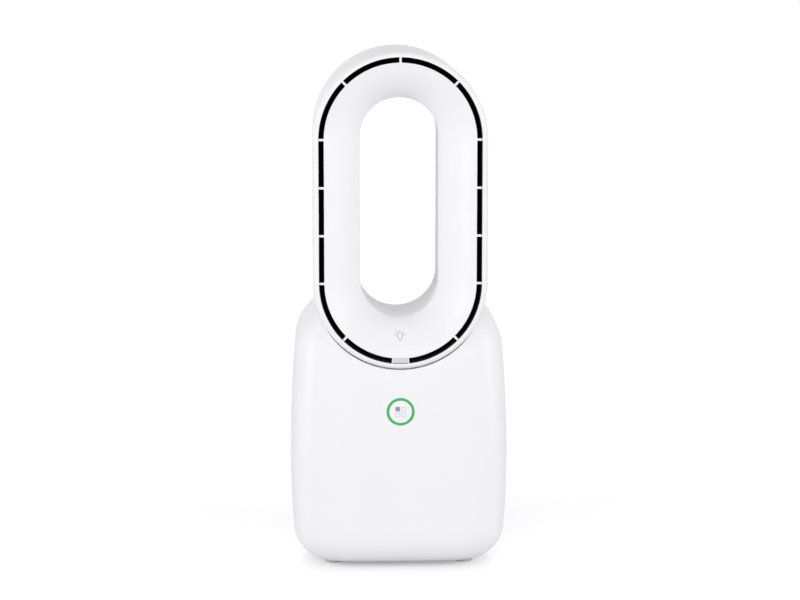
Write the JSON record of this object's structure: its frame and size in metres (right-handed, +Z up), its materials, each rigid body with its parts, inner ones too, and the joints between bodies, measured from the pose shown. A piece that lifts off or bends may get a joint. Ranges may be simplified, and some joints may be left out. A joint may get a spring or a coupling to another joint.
{
  "type": "bladeless fan",
  "caption": "Bladeless table fan: an upright oval air loop with a narrow air slot, let into a soft rounded base with a push button, a fan unit inside and rubber feet.",
  "frame": {"origin": "centre of the rectangle that the fan covers on the surface it stands on", "axes": "+Z up; the air leaves towards -Y, where the button is; +X is to the right of someone who looks along +Y at the front"},
  "size_m": [0.1526, 0.128, 0.363],
  "materials": {
    "white_plastic": "satin white",
    "black_plastic": "matt black",
    "grey_plastic": "matt light grey",
    "frosted_plastic": "frosted light grey",
    "green_light": "translucent green light ring",
    "black_rubber": "matt dark rubber",
    "circuit_green": "circuit board",
    "steel": "plain steel",
    "dark_steel": "coated steel sheets",
    "lead_jacket": "black lead jacket"
  },
  "bodies": {
    "body": {"loop_outer_shell": "white_plastic", "loop_inner_shell": "white_plastic", "slot_liner": "black_plastic", "slot_window": "frosted_plastic", "touch_board": "circuit_green", "front_housing": "white_plastic", "rear_housing": "white_plastic", "intake_grille": "white_plastic", "saddle": "white_plastic", "chassis_plate": "grey_plastic", "impeller_duct": "grey_plastic", "duct_seal": "black_rubber", "neck_duct": "grey_plastic", "motor_stator": "dark_steel", "motor_can": "steel", "motor_end_cap": "grey_plastic", "motor_sleeve": "black_rubber", "upper_bearing": "steel", "lower_bearing": "steel", "main_board": "circuit_green", "power_inlet": "black_plastic", "button_ring": "green_light", "button_switch": "black_plastic", "button_board": "circuit_green", "inlet_lead": "lead_jacket", "button_lead": "lead_jacket", "touch_lead": "lead_jacket", "motor_lead": "lead_jacket", "foot_front_left": "black_rubber", "foot_front_right": "black_rubber", "foot_rear_left": "black_rubber", "foot_rear_right": "black_rubber", "base_screw_front_left": "steel", "base_screw_front_right": "steel", "base_screw_rear_left": "steel", "base_screw_rear_right": "steel", "duct_mount_front_left": "black_rubber", "duct_mount_front_right": "black_rubber", "duct_mount_rear_left": "black_rubber", "duct_mount_rear_right": "black_rubber", "loop_screw_front": "steel", "loop_screw_rear": "steel", "button_screw_left": "steel", "button_screw_right": "steel"},
    "button": {"button_cap": "white_plastic", "switch_plunger": "black_plastic"},
    "spinner": {"impeller": "black_plastic", "impeller_nut": "steel", "motor_shaft": "steel", "motor_rotor": "dark_steel"}
  },
  "joints": [
    {"name": "button_press", "type": "slide", "parent": "body", "child": "button", "axis": [0, 1, 0], "range_m": [0, 0.0008], "stiffness_N_per_m": 1800},
    {"name": "impeller_spin", "type": "hinge", "parent": "body", "child": "spinner", "pos_m": [0, 0, 0.08], "axis": [0, 0, 1], "continuous": true}
  ]
}
